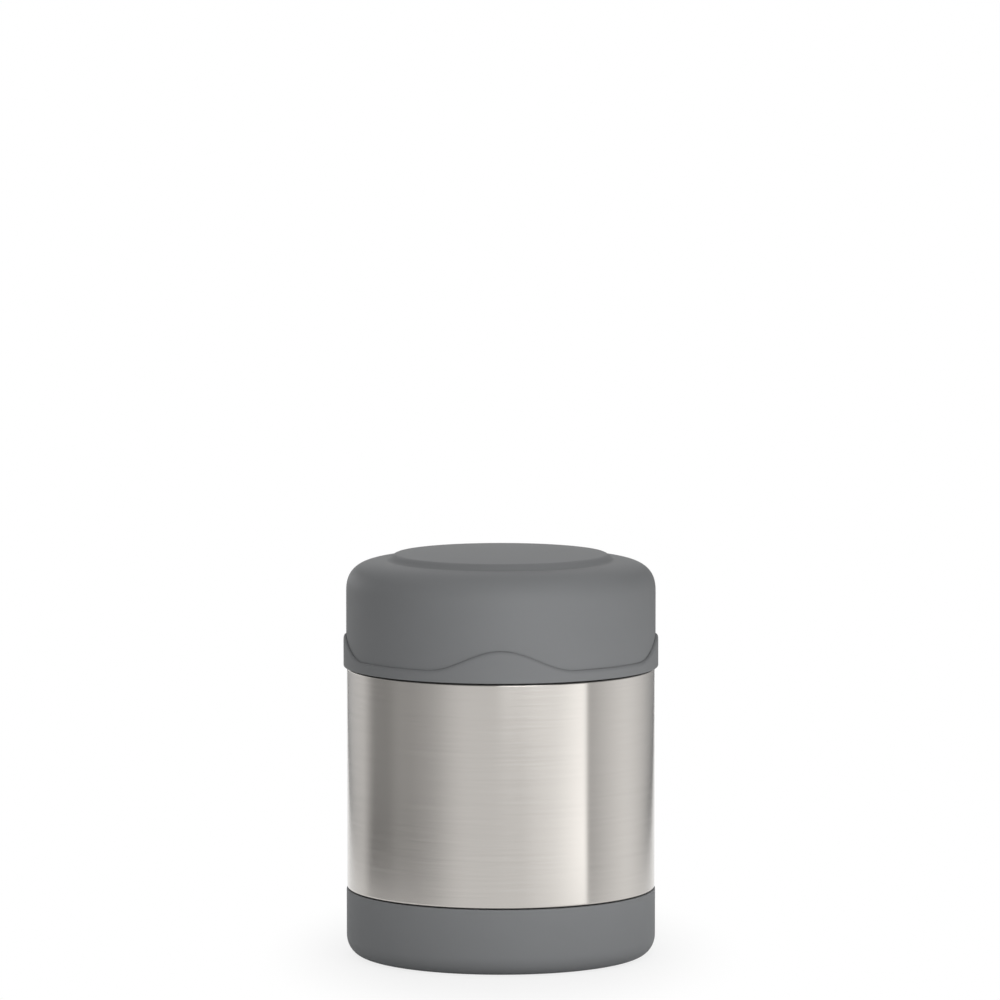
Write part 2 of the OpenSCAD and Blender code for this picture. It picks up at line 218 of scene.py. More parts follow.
# %% [markdown]
# ## Sheets and close rows
#
# Both steel walls are sheets of one thickness. So only one side of a sheet is drawn, and the other is that
# side moved by the thickness. A straight side needs no points but its ends. Where a thread will stand on
# it, more are put in.

# %% A sheet's two sides, and more points on a side
def sheet(path, thickness):
    """The closed outline of a sheet: the path, and back along the path moved to its left.

    A point moves along the line halfway between its two sides' left normals, by the thickness over the
    cosine of the angle from that line to either normal. So both sides move by the whole thickness.
    """
    along = unit(np.diff(path, axis=0))
    left = np.stack([-along[:, 1], along[:, 0]], 1)
    before, after = np.vstack([left[:1], left]), np.vstack([left, left[-1:]])
    middle = unit(before + after)
    moved = path + middle * thickness / (middle * after).sum(1, keepdims=True)
    return np.vstack([path, moved[::-1]])


def filled(path, spacing):
    """The path with points put in evenly wherever two lie further apart than the spacing.

    A side is cut into as many equal parts as its length over the spacing, rounded up. A new point is the
    side's start plus one part times the point's place along the side.
    """
    side = np.diff(path, axis=0)
    parts = np.ceil(np.linalg.norm(side, axis=1) / spacing).astype(int).clip(1)
    place = np.arange(parts.sum()) - np.repeat(np.cumsum(parts) - parts, parts)
    start, part = (np.repeat(each, parts, axis=0) for each in (path[:-1], side / parts[:, None]))
    return np.vstack([start + part * place[:, None], path[-1:]])


ten_steps = filled(np.array([[0, 0], [MM, 0]]), MM / 10)
print("a side of 1 mm with a point every 0.1 mm takes", len(ten_steps), "points")

# %% [markdown]
# ## Screw thread
#
# The neck has three ridges that climb side by side, so the lid closes in well under a turn. Each is a
# trapezium across, and sinks into the wall at both ends so that the lid finds its way on. A ridge is no
# separate body here: it is a number between 0 and 1 for every point of the grid, times its height.

# %% How far a thread stands up
STARTS = 3
LEAD = 12 * MM
ROOT_W = 1.8 * MM
CREST_W = 0.9 * MM
RIDGE_H = 1.1 * MM
TAPER = np.radians(24)  # the turn in which a ridge sinks into its wall


def thread(level, first_level, turns, lag):
    """The share of a ridge's height at each level and turn, from 0 to 1.

    A ridge's middle lies at its first level plus the lead times the turns since its start. Its share across
    is the distance left to its foot over the width of its flank, and along it is the angle left to its
    nearer end over the taper. Both are cut off at 1 and multiplied, and eased by t t (3 - 2 t).
    """
    share = np.zeros((len(level), len(TURN)))
    for start in range(STARTS):
        angle = (TURN - lag - start * 2 * np.pi / STARTS) % (2 * np.pi)
        off = np.abs(level[:, None] - first_level - LEAD * angle / (2 * np.pi))
        across = np.clip((ROOT_W / 2 - off) / ((ROOT_W - CREST_W) / 2), 0, 1)
        along = np.clip(np.minimum(angle, turns * 2 * np.pi - angle) / TAPER, 0, 1)
        share = np.maximum(share, across * along)
    return share * share * (3 - 2 * share)


print("%d ridges %.1f mm high, which climb %.0f mm a turn" % (STARTS, RIDGE_H / MM, LEAD / MM))

# %% [markdown]
# ## Steel outer wall
#
# This wall is drawn and spun from one sheet: it tucks in where the base cup grips it, runs straight up,
# turns in over a flat shoulder that the lid closes down to, and ends in the threaded neck. The whole sheet
# is one outline with its thickness. A ridge climbs slowly across the grid's level rows, and rows that lie
# far apart would turn it into a rope of small beads. So they lie very close together, but only on the
# outside and only as far as the thread reaches.

# %% The steel wall and its threaded neck
SHEET = 0.6 * MM
SHOULDER_DROP = 0.4 * MM  # open seam between the lid and the shoulder
FOOT_SEAM = 0.3 * MM  # open seam between the cup and the steel
TUCK_IN = 1.7 * MM
FOLD_BEND = 0.5 * MM
SHOULDER_BEND = 0.45 * MM
NECK_BEND = 1.5 * MM
THREAD_START = 3.3 * MM  # above the shoulder
THREAD_TURNS = 0.6
THREAD_SHARP = 70  # degrees, above which an edge on a threaded piece looks sharp
ROW_GAP = 0.06 * MM
NEAR = 0.01 * MM  # a point this near to a radius counts as on it

shoulder_z = lid_z - SHOULDER_DROP
thread_z = shoulder_z + THREAD_START
tuck_r = foot_r - TUCK_IN
wall = rounded(
    (tuck_r, tuck_z, 0),
    (tuck_r, foot_h + FOOT_SEAM, FOLD_BEND),
    (steel_r, foot_h + FOOT_SEAM, FOLD_BEND),
    (steel_r, shoulder_z, SHOULDER_BEND),
    (neck_r, shoulder_z, NECK_BEND),
    (neck_r, neck_top, 0))
threaded = np.array([
    [neck_r, thread_z - ROOT_W / 2],
    [neck_r, thread_z + LEAD * THREAD_TURNS + ROOT_W / 2]])
both_sides = sheet(wall, SHEET)
neck_end = len(wall) - 1
outline = np.vstack([both_sides[:neck_end], filled(threaded, ROW_GAP), both_sides[neck_end:]])
on_neck = np.abs(outline[:, :1] - neck_r) < NEAR
ridge = RIDGE_H * thread(outline[:, 1], thread_z, THREAD_TURNS, 0) * on_neck
steel_wall = skin("steel_wall", carried(outline, out=ridge), sharp=THREAD_SHARP)
seat(steel_wall, "jar", "brushed_steel", "outer_shell")

# %% [markdown]
# ## Base cup
#
# The cup is moulded, so nothing on it is sharp. Its lower edge is a wide elliptical curve, taller than it
# is broad, which lets the jar look lighter than it is: its radius grows by the sine and its height by 1
# less the cosine of an angle from 0 to a right angle. Only a ring underneath touches the table. The middle
# is hollowed, so that the jar can't rock.

# %% The base cup
EDGE_ACROSS = 4.8 * MM
EDGE_UP = 5.8 * MM
CUP_WALL = 1.65 * MM
CUP_FLOOR = 2.8 * MM
HOLLOW = 0.8 * MM
STAND_W = 8 * MM
CUP_BEND = 0.3 * MM
BORE_BEND = 1.9 * MM
RUBBED = 0.3  # wear at the upper edge
# painted shade: the cup is drawn darker and rougher towards its foot
FOOT_SHADE_FADE = 1.5  # how fast the dullness at the foot dies away upwards

quarter = np.linspace(0, np.pi / 2, 20)[:, None]
edge = np.hstack([
    foot_r - EDGE_ACROSS + EDGE_ACROSS * np.sin(quarter),
    EDGE_UP - EDGE_UP * np.cos(quarter)])
stand_r = foot_r - EDGE_ACROSS - STAND_W
bore_r = foot_r - CUP_WALL
cup = np.vstack([
    rounded((0, HOLLOW, 0), (stand_r - HOLLOW, HOLLOW, CUP_BEND), (stand_r, 0, CUP_BEND),
            (foot_r - EDGE_ACROSS - MM, 0, 0)),
    edge,
    rounded((foot_r, EDGE_UP + MM, 0), (foot_r, foot_h, CUP_BEND), (bore_r, foot_h, CUP_BEND),
            (bore_r, CUP_FLOOR, BORE_BEND), (0, CUP_FLOOR, 0))]).clip(0)
rubbed = RUBBED * np.exp(-np.abs(cup[:, 1] - foot_h) / MM) * (cup[:, 0] > bore_r - MM)
# painted shade, darker towards the cup's lower edge
painted_foot_shade = (1 - cup[:, 1] / EDGE_UP).clip(0) ** FOOT_SHADE_FADE * (cup[:, 0] > stand_r)
foot_cup = skin("foot_cup", carried(cup), wear_and_painted_shade=rubbed - painted_foot_shade)
seat(foot_cup, "jar", "base_grey", "base_cup")

# %% [markdown]
# ## Food well
#
# The inner wall is a tube. Its lip rolls out over the neck, where it is welded, and a pressed bottom with a
# wide round edge is welded in lower down. They stay two pieces, as on the real jar, so the weld is a true
# line that the light finds. The lip's outer edge is rolled, as a lip that people eat from has to be: it is
# half a circle, as wide as the sheet is thick.

# %% The food well's tube and bottom
WELL_SHEET = 0.5 * MM
LIP_BEND = 1.2 * MM
DISH_BEND = 6 * MM

cavity_r = well_r - WELL_SHEET
floor_z = well_low + WELL_SHEET
tube = rounded(
    (neck_r, lip_z, 0),
    (cavity_r, lip_z, LIP_BEND),
    (cavity_r, weld_z, 0), steps=12)
tube_outline = sheet(tube, WELL_SHEET)
half_turn = np.linspace(0, np.pi, 9)[1:-1, None]
roll_r, roll_z = neck_r - WELL_SHEET / 2, lip_z - WELL_SHEET / 2
roll = np.hstack([roll_r + WELL_SHEET / 2 * np.sin(half_turn), roll_z - WELL_SHEET / 2 * np.cos(half_turn)])
tube_outline[0, 0] = tube_outline[-1, 0] = roll_r
food_well = skin("food_well", carried(np.vstack([tube_outline, roll])))
seat(food_well, "jar", "inner_steel", "inner_wall")

dish = rounded((cavity_r, weld_z, 0), (cavity_r, floor_z, DISH_BEND), (0, floor_z, 0), steps=16)
from_axis_to_axis = np.roll(sheet(dish, WELL_SHEET)[::-1], len(dish), axis=0)
well_bottom = skin("well_bottom", carried(from_axis_to_axis))
seat(well_bottom, "jar", "inner_steel", "inner_bottom")

# %% [markdown]
# ## Lid cover
#
# The cover's shoulder is fuller than a quarter of an ellipse: a superellipse, as in moulds that should look
# soft but hold their volume. The round top is raised, and a short smooth step leads up to it. Inside, the
# foam would not fill a sharp corner, so the step there is wider. Points spread evenly along the outline
# keep the highlight even, where equal steps of the formula would crowd the ends.

# %% The cover
COVER_WALL = 1.6 * MM
SHOULDER_ACROSS = 12.2 * MM
SHOULDER_UP = 9.35 * MM
FULLNESS = 2.65
TOP_RISE = 2.25 * MM
OUTSIDE = {"disc_r": 30.3 * MM, "step_w": 3 * MM, "crown": 0.45 * MM}
INSIDE = {"disc_r": 28.2 * MM, "step_w": 8 * MM, "crown": 0.15 * MM}
FOOT_UP = 2 * MM
FOOT_BEND_IN, FOOT_BEND_OUT = 0.2 * MM, 0.3 * MM
FINE = 600  # points of the formula, before they are spread evenly


def cover_curve(inset, points, disc_r, step_w, crown):
    """The cover's curve from its wall to the axis, moved in by an inset.

    The shoulder is |x / across| ^ n + |y / up| ^ n = 1, with n the fullness. The step adds its rise times
    t t (3 - 2 t), with t running from 0 outside to 1 inside, and the crown adds a shallow parabola.
    """
    across, up = SHOULDER_ACROSS - inset / 2, SHOULDER_UP - inset / 2
    edge_r, top = lid_r - inset, lid_top - TOP_RISE - inset
    k = np.linspace(0, np.pi / 2, FINE)
    r = np.concatenate([edge_r - across + across * np.cos(k).clip(0) ** (2 / FULLNESS),
                        np.linspace(edge_r - across, 0, FINE)[1:]])
    z = np.concatenate([top - up + up * np.sin(k) ** (2 / FULLNESS), np.full(FINE - 1, top)])
    t = np.clip((disc_r + step_w - r) / step_w, 0, 1)
    z = z + (TOP_RISE - crown) * t * t * (3 - 2 * t) + crown * (1 - np.minimum(r / disc_r, 1) ** 2)
    length = np.concatenate([[0], np.cumsum(np.hypot(np.diff(r), np.diff(z)))])
    even = np.linspace(0, length[-1], points)
    return np.stack([np.interp(even, length, r), np.interp(even, length, z)], 1)


cover_in = lid_r - COVER_WALL
cover = np.vstack([
    cover_curve(COVER_WALL, 50, **INSIDE)[::-1],
    rounded((cover_in, lid_z + FOOT_UP, 0), (cover_in, lid_z, FOOT_BEND_IN),
            (lid_r, lid_z, FOOT_BEND_OUT), (lid_r, lid_z + FOOT_UP, 0)),
    cover_curve(0, 100, **OUTSIDE)])
cover[0, 0] = cover[-1, 0] = 0
lid_cover = skin("lid_cover", carried(cover))
seat(lid_cover, "lid", "lid_grey", "lid_shell")
print("raised top %.1f mm across, %.2f mm high" % (2 * OUTSIDE["disc_r"] / MM, TOP_RISE / MM))

# %% [markdown]
# ## Grip band
#
# A soft band is moulded round the foot of the lid. Its upper edge rises in four low waves, and each gives a
# finger something to push against. It could be cut from a tube with a Boolean. Here each column of a plain
# band is stretched up by the wave's height, so the rounded edge keeps its shape all the way round. A wave
# is half its height times 1 plus the cosine of an angle that runs through half a turn from its middle to
# its end.

# %% The grip band
GRIP_T = 0.75 * MM
GRIP_H = 3.3 * MM
EDGE_DOWN = 1.4 * MM
WAVES = 4
HALF_WAVE = np.radians(28)
GRIP_BEND_IN, GRIP_BEND_OUT = 0.1 * MM, 0.35 * MM
STILL_UP_TO = 0.7 * MM  # above the band's foot: nothing below this rises with a wave
MOVED_FROM = 1.85 * MM  # and all above this rises with it
SEAM_GAP = 0.2 * MM  # between an outline's last and first points, on a straight side

grip_in = grip_r - GRIP_T
wave_h = grip_top - lid_z - GRIP_H
apart = 2 * np.pi / WAVES
off = np.abs(TURN - apart * np.round(TURN / apart))
wave = wave_h * np.where(off < HALF_WAVE, (1 + np.cos(np.pi * off / HALF_WAVE)) / 2, 0)
quarter = np.linspace(0, np.pi / 2, 14)[:, None]
soft_edge = np.hstack([
    grip_in + GRIP_T * np.cos(quarter),
    lid_z + GRIP_H - EDGE_DOWN * (1 - np.sin(quarter))])
band = np.vstack([
    rounded((grip_in, lid_z + GRIP_H / 2, 0), (grip_in, lid_z, GRIP_BEND_IN),
            (grip_r, lid_z, GRIP_BEND_OUT), (grip_r, lid_z + GRIP_H - EDGE_DOWN - HOLD, 0)),
    soft_edge,
    [[grip_in, lid_z + GRIP_H / 2 + SEAM_GAP]]])
share = np.clip((band[:, 1:] - lid_z - STILL_UP_TO) / (MOVED_FROM - STILL_UP_TO), 0, 1)
# painted shade: the band's top edge is drawn darker and duller where it meets the cover
dust_and_painted_shade = np.zeros(len(band))
dust_and_painted_shade[-1 - len(soft_edge):-1] = -np.sin(quarter[:, 0]) ** 2
wavy_grip = skin("wavy_grip", carried(band, up=share * wave), wear_and_painted_shade=dust_and_painted_shade)
seat(wavy_grip, "lid", "band_grey", "grip_band")
print("waves of %.1f mm, one every %d degrees" % (wave_h / MM, np.degrees(apart)))

# %% [markdown]
# ## Lid liner
#
# Inside the lid, a second moulding carries the thread and the plug that reaches into the mouth. The skirt
# goes round the neck, the deck closes over the lip, and a groove under the deck holds the sealing ring. Its
# ridges point inwards, so they are taken off the bore's radius instead of added to it. On the closed jar
# they hang just below the neck's: by the mean width of a ridge, less what the flanks' slope gives back over
# the gap at the crest, and plus the play.

# %% The liner with its inner thread
LINER_WALL = 1.6 * MM
SKIRT_WALL = 2.2 * MM
RIM_H = 2 * MM
PLUG_REACH = 7.5 * MM
PLUG_GAP = 0.7 * MM
GROOVE_IN = 1.3 * MM
GROOVE_DROP = 1.6 * MM
CREST_GAP = 0.4 * MM  # between a crest and the wall across from it
PLAY = 0.3 * MM  # between two flanks
LID_LAG = np.radians(36)  # how much further round the lid's ridges start than the neck's
LID_TURNS = 0.4
LINER_BEND = 0.2 * MM
PLUG_BEND_OUT, PLUG_BEND_IN = 2 * MM, 1 * MM
DECK_BEND = 0.3 * MM
BORE_ROWS = 0.5 * MM, 10.9 * MM  # above the liner's foot, where the rows lie close

liner_bore = neck_r + RIDGE_H + CREST_GAP
plug_r = cavity_r - PLUG_GAP
groove_r = plug_r - GROOVE_IN
plug_z = lip_z - PLUG_REACH
deck_z = liner_top - LINER_WALL
skirt_r = liner_bore + SKIRT_WALL
hollow_r = groove_r - LINER_WALL
groove_z = lip_z - GROOVE_DROP
bore_low, bore_high = liner_z + BORE_ROWS[0], liner_z + BORE_ROWS[1]
below = rounded(
    (0, plug_z, 0),
    (plug_r, plug_z, PLUG_BEND_OUT),
    (plug_r, groove_z, LINER_BEND),
    (groove_r, groove_z, LINER_BEND),
    (groove_r, deck_z, LINER_BEND),
    (liner_bore, deck_z, DECK_BEND),
    (liner_bore, bore_high, 0))
bore = filled(np.array([[liner_bore, bore_high], [liner_bore, bore_low]]), 2 * ROW_GAP)
above = rounded(
    (liner_bore, bore_low, 0),
    (liner_bore, liner_z, LINER_BEND),
    (liner_r, liner_z, LINER_BEND),
    (liner_r, liner_z + RIM_H, LINER_BEND),
    (skirt_r, liner_z + RIM_H, LINER_BEND),
    (skirt_r, liner_top, LINER_WALL),
    (hollow_r, liner_top, LINER_BEND),
    (hollow_r, plug_z + LINER_WALL, PLUG_BEND_IN),
    (0, plug_z + LINER_WALL, 0))
liner = np.vstack([below[:-1], bore, above[1:]])
mean_w = (ROOT_W + CREST_W) / 2
ridge_drop = mean_w - (ROOT_W - CREST_W) / 2 * CREST_GAP / RIDGE_H + PLAY
first = thread_z - ridge_drop + LEAD * LID_LAG / (2 * np.pi)
in_bore = (np.abs(liner[:, :1] - liner_bore) < NEAR) & (liner[:, 1:] < deck_z - MM)
inward = -RIDGE_H * thread(liner[:, 1], first, LID_TURNS, LID_LAG) * in_bore
lid_inner = skin("lid_inner", carried(liner, out=inward), sharp=THREAD_SHARP)
seat(lid_inner, "lid", "liner_plastic", "lid_liner")

# %% [markdown]
# ## Sealing ring
#
# The silicone ring is trapped in the groove and squeezed on the lip. It has a foot that reaches into the
# mouth, and soft edges all round, because it is moulded in one go and would tear at a sharp one.

# %% The sealing ring
RUN_GAP = 0.3 * MM
SEAT_GAP = 0.05 * MM
RING_BEND_IN, RING_BEND_OUT = 0.25 * MM, 0.35 * MM
REACH_BEND, SEAT_BEND = 0.3 * MM, 0.2 * MM

ring_in = groove_r + RUN_GAP
reach_r = cavity_r - RUN_GAP
seat_z = lip_z + SEAT_GAP
ring_mid = (ring_z + ring_top) / 2
ring = rounded(
    (ring_in, ring_mid, 0),
    (ring_in, ring_z, RING_BEND_IN),
    (reach_r, ring_z, REACH_BEND),
    (reach_r, seat_z, SEAT_BEND),
    (ring_r, seat_z, RING_BEND_OUT),
    (ring_r, ring_top, RING_BEND_OUT),
    (ring_in, ring_top, RING_BEND_IN),
    (ring_in, ring_mid + SEAM_GAP, 0))
sealing_ring = skin("sealing_ring", carried(ring))
seat(sealing_ring, "seal", "silicone", "lid_gasket")

# %% [markdown]
# ## Shader maths
#
# A material is a web of nodes, and a long one is hard to read as links. So a socket is wrapped in a small
# class, and Python's own signs on it add Math nodes: 1 - mask is a node, as mask * 0.2 is. One method makes
# every other kind of node. Colours and vectors go through their own nodes, because a Math node would turn
# them grey.

# %% A socket that Python's signs work on
class Wire:
    """One output in a node tree. A sign between it and a number, or another wire, adds a Math node."""

    def __init__(self, tree, socket=None):
        self.tree, self.socket = tree, socket

    def node(self, kind, settings={}, inputs={}, output=0):
        """Adds a node: first its settings, then the values or wires of its sockets. Gives one output."""
        made = self.tree.nodes.new(kind)
        for name, value in settings.items():
            setattr(made, name, value)
        for name, value in inputs.items():
            if isinstance(value, Wire):
                self.tree.links.new(value.socket, made.inputs[name])
            else:
                made.inputs[name].default_value = value
        return Wire(self.tree, made.outputs[output] if made.outputs else None)

    def math(self, operation, *values):
        """Adds a Math node for one operation on its values."""
        return self.node("ShaderNodeMath", {"operation": operation}, dict(enumerate(values)))

    def __add__(self, other):
        return self.math("ADD", self, other)

    def __sub__(self, other):
        return self.math("SUBTRACT", self, other)

    def __rsub__(self, other):
        return self.math("SUBTRACT", other, self)

    def __mul__(self, other):
        return self.math("MULTIPLY", self, other)

    __radd__, __rmul__ = __add__, __mul__

    def ease(self, low, high):
        """0 below low, 1 above high, and a smooth S between them."""
        return self.node("ShaderNodeMapRange", {"interpolation_type": "SMOOTHSTEP"},
                         {"Value": self, "From Min": low, "From Max": high})


print("signs that add a Math node: + - *")

# %% [markdown]
# ## What the materials share
#
# Every pattern is read at the point's own place on the part, its Object coordinates, scaled to millimetres.
# So grain is as fine on the lid as on the cup, and turns with the lid. Noise alone looks like cloud: what
# makes it brushing, grain or crumple is how far it is stretched in each direction, and how fine it is.

# %% Patterns and finished materials
record_colours = {m["slot"]: m["base_color"] for m in frame["record"]["materials"]}
print("colours:", record_colours)


def new_finish(name):
    """An empty material, and a wire to build its nodes from."""
    finish = bpy.data.materials.new(name)
    finish.use_nodes = True
    finish.node_tree.nodes.clear()
    return finish, Wire(finish.node_tree)


def noise(wire, per_mm, detail=2.0):
    """Noise from 0 to 1, with a number of grains per millimetre along x, y and z."""
    place = wire.node("ShaderNodeTexCoord", output="Object")
    scaled = wire.node("ShaderNodeVectorMath", {"operation": "MULTIPLY"},
                       {0: place, 1: [n / MM for n in per_mm]})
    return wire.node("ShaderNodeTexNoise", {}, {"Vector": scaled, "Scale": 1.0, "Detail": detail}, "Fac")


def grey(wire, shade):
    """The shade, a wire, as a colour."""
    return wire.node("ShaderNodeCombineColor", {}, {"Red": shade, "Green": shade, "Blue": shade})


def tint(wire, colour, shade):
    """The colour times the shade, a wire near 1, as a colour.

    A Mix node has a set of sockets for each kind of data, so they go by number here: 0 is the factor, 6
    and 7 are the two colours, and output 2 is their result.
    """
    return wire.node("ShaderNodeMix", {"data_type": "RGBA", "blend_type": "MULTIPLY"},
                     {0: 1.0, 6: (*colour, 1.0), 7: grey(wire, shade)}, 2)


def bump(wire, height, depth):
    """A bump of a height from 0 to 1, times a depth in metres."""
    sockets = {"Strength": 1.0, "Distance": depth, "Height": height}
    return wire.node("ShaderNodeBump", {}, sockets, "Normal")


def close(wire, sockets):
    """Ends a material in the main shader with these sockets."""
    shader = wire.node("ShaderNodeBsdfPrincipled", {}, sockets)
    wire.node("ShaderNodeOutputMaterial", {}, {"Surface": shader})


# %% [markdown]
# ## Brushed steel
#
# The wall was brushed while it spun, so its scratches run round it. They scatter light up and down but
# hardly sideways, which draws the tall soft bands on such a jar. That is an anisotropic shader, turned a
# quarter so that its long side stands upright. The scratches themselves are noise stretched sideways: long
# along x and y and very fine along z. They only vary the shade and the roughness by a few parts in a
# hundred.

# %% The brushed finish
STEEL_COLOUR = (0.566, 0.541, 0.511)
UPRIGHT = 0.25  # of a turn
SCRATCH_DEPTH = 0.0015 * MM


def brushed(name, colour, roughness, anisotropy, fine=1.0):
    """Steel with scratches round the axis."""
    finish, w = new_finish(name)
    hair = noise(w, (0.06 * fine, 0.06 * fine, 7.0 * fine), 3.0)
    streak = noise(w, (0.03, 0.03, 1.1), 2.0)
    cloud = noise(w, (0.05, 0.05, 0.05))
    close(w, {
        "Base Color": tint(w, colour, 0.91 + hair * 0.11 + streak * 0.06 + cloud * 0.01),
        "Metallic": 1.0,
        "Roughness": roughness - 0.05 + hair * 0.06 + streak * 0.04,
        "Anisotropic": anisotropy,
        "Anisotropic Rotation": UPRIGHT,
        "Normal": bump(w, hair, SCRATCH_DEPTH)})
    return finish


steel_finish = brushed("brushed_steel_finish", STEEL_COLOUR, roughness=0.21, anisotropy=0.95)
well_finish = brushed("food_well_finish", record_colours["inner_steel"],
                      roughness=0.24, anisotropy=0.5, fine=0.6)
print("brushed:", steel_finish.name, "and", well_finish.name)

# %% [markdown]
# ## Moulded grey
#
# The lid, band and cup are one matt plastic. A mould is blasted so that its surface has a fine grain, which
# spreads the highlight. The grain is a bump of a few thousandths of a millimetre, and broad cloudy noise
# stands for the slight flow marks in the colour. The cup is a little duller than the lid, and its colour is
# raised a little as painted light, for the dimmer light near the floor. The wear and painted shade
# attribute is above 0 where hands polish an edge, and below 0 where shade is painted: on the grip band's
# top edge against the cover, and towards the cup's foot. Painted shade makes the plastic darker and duller.

# %% The moulded finishes
# painted light: the cup's colour is raised by this factor, for the dimmer light near the floor
CUP_PAINTED_LIGHT = 1.14


def moulded(name, colour, roughness, grain=3.5, depth=0.006, gloss=0.25):
    """Matt plastic with a blasted grain, faint flow marks, edges rubbed smooth, and painted shade in
    places.
    """
    finish, w = new_finish(name)
    pits = noise(w, (grain, grain, grain), 4.0)
    flow = noise(w, (0.06, 0.06, 0.10), 3.0)
    # the attribute holds real wear above 0, and painted shade below 0
    wear_and_painted_shade = w.node("ShaderNodeAttribute", {"attribute_name": "wear_and_painted_shade"}, output="Fac")
    close(w, {
        "Base Color": tint(w, colour, 0.95 + flow * 0.05 + pits * 0.05 + wear_and_painted_shade * 0.20),
        "Roughness": roughness - 0.05 + pits * 0.10 - wear_and_painted_shade * 0.12,
        "Specular IOR Level": gloss,
        "Normal": bump(w, pits * (1 - wear_and_painted_shade * 0.6), depth * MM)})
    return finish


# painted light: the record's cup colour, raised
cup_colour_with_painted_light = np.multiply(record_colours["base_grey"], CUP_PAINTED_LIGHT)
lid_finish = moulded("lid_grey_finish", record_colours["lid_grey"], roughness=0.55)
grip_finish = moulded("grip_grey_finish", record_colours["band_grey"], roughness=0.55, grain=4.5)
cup_finish = moulded("cup_grey_finish", cup_colour_with_painted_light, roughness=0.62, gloss=0.12)
liner_finish = moulded("liner_finish", record_colours["liner_plastic"],
                       roughness=0.36, grain=2.0, depth=0.002)
moulded_finishes = lid_finish, grip_finish, cup_finish, liner_finish
print("moulded:", ", ".join(each.name for each in moulded_finishes))

# %% [markdown]
# ## Silicone
#
# The sealing ring is pale rubber, and light goes a little way into it. Subsurface scattering does that, and
# it is kept low because the ring is thin. Fine dust sticks to it and makes it dull in places.

# %% The ring's finish
def soft_rubber(name, colour):
    """Silicone: light goes a little way into it, and dust makes it dull in places."""
    finish, w = new_finish(name)
    # on the ring this noise stands for dust alone, with no painted shade
    dust_and_painted_shade = noise(w, (1.2, 1.2, 1.2), 4.0)
    close(w, {
        "Base Color": tint(w, colour, 0.94 + dust_and_painted_shade * 0.08),
        "Roughness": 0.42 + dust_and_painted_shade * 0.14,
        "Subsurface Weight": 0.15,
        "Subsurface Radius": (0.002, 0.002, 0.002),
        "Subsurface Scale": 0.5,
        "Normal": bump(w, dust_and_painted_shade, 0.01 * MM)})
    return finish


seal_finish = soft_rubber("silicone_finish", record_colours["silicone"])
print("rubber:", seal_finish.name)

# %% [markdown]
# ## Hidden parts
#
# The parts between the walls and inside the lid only show when the jar is taken apart or cut open. Their
# CAD shapes are right, so they stay, and each only gets its finish: crumpled foil, a pressed black getter
# pellet, a bead of solder, foam tape and set foam.

# %% Finishes of the hidden parts
def grainy(slot, name, roughness, metallic, per_mm, depth, contrast):
    """One noise that drives shade, roughness and bump together, in the colour of a material slot.

    It has a number of grains per millimetre, a depth in millimetres, and a contrast in its shade.
    """
    finish, w = new_finish(name)
    lumps = noise(w, (per_mm, per_mm, per_mm), 4.0)
    close(w, {
        "Base Color": tint(w, record_colours[slot], 1 - contrast / 2 + lumps * contrast),
        "Metallic": metallic,
        "Roughness": roughness - 0.06 + lumps * 0.12,
        "Normal": bump(w, lumps, depth * MM)})
    return finish


hidden = {  # grainy's numbers are roughness, metallic, grains per mm, depth in mm and contrast
    "outer_bottom": brushed("plain_steel_finish", record_colours["plain_steel"],
                            roughness=0.34, anisotropy=0.4),
    "foil_wrap": grainy("foil", "foil_finish", 0.22, 1.0, 0.35, 0.25, 0.10),
    "getter": grainy("getter_metal", "getter_finish", 0.70, 0.6, 6, 0.04, 0.40),
    "vacuum_plug": grainy("solder", "solder_finish", 0.30, 1.0, 0.9, 0.05, 0.12),
    "base_pad": grainy("adhesive_foam", "foam_tape_finish", 0.85, 0.0, 2.5, 0.12, 0.50),
    "lid_insulation": grainy("foam", "set_foam_finish", 0.80, 0.0, 1.4, 0.15, 0.16),
}
hidden["foil_disc"] = hidden["foil_wrap"]
hidden["getter_clip"] = hidden["outer_bottom"]
for node, finish in hidden.items():
    for place in frame["nodes"][node].material_slots:
        place.material = finish
for piece, finish in (
        (steel_wall, steel_finish), (foot_cup, cup_finish), (food_well, well_finish),
        (well_bottom, well_finish), (lid_cover, lid_finish), (wavy_grip, grip_finish),
        (lid_inner, liner_finish), (sealing_ring, seal_finish)):
    piece.data.materials.append(finish)
print("finishes:", len(bpy.data.materials))

# %% [markdown]
# ## Camera
#
# A long lens from two metres away, a little above the lid, keeps the jar's sides upright and its ellipses
# shallow.

# %% The camera
CAMERA_FAR = 2.0  # metres, as are the next two
CAMERA_HIGH = 0.3212
CAMERA_LEFT = 0.00026
LOOK_DOWN = 5.390  # degrees
LENS = 249.54  # millimetres, as is the sensor's width
SENSOR_W = 36.0

camera = bpy.data.objects.new("camera", bpy.data.cameras.new("camera"))
camera.data.sensor_width, camera.data.lens = SENSOR_W, LENS
camera.location = (-CAMERA_LEFT, -CAMERA_FAR, CAMERA_HIGH)
camera.rotation_euler = (np.radians(90 - LOOK_DOWN), 0, 0)
bpy.context.scene.collection.objects.link(camera)
bpy.context.scene.camera = camera
print("a lens of %.0f mm, %.1f m away, looks down by %.2f degrees" % (LENS, CAMERA_FAR, LOOK_DOWN))

# %% [markdown]
# ## Studio
#
# The room is plain and white. The light from all round is soft, with more of it from straight above, and
# at this strength a colour comes out about as it is written. Rays from the camera, and those that metal or
# plastic mirrors, see the same white, so that the jar shows the room it stands in.

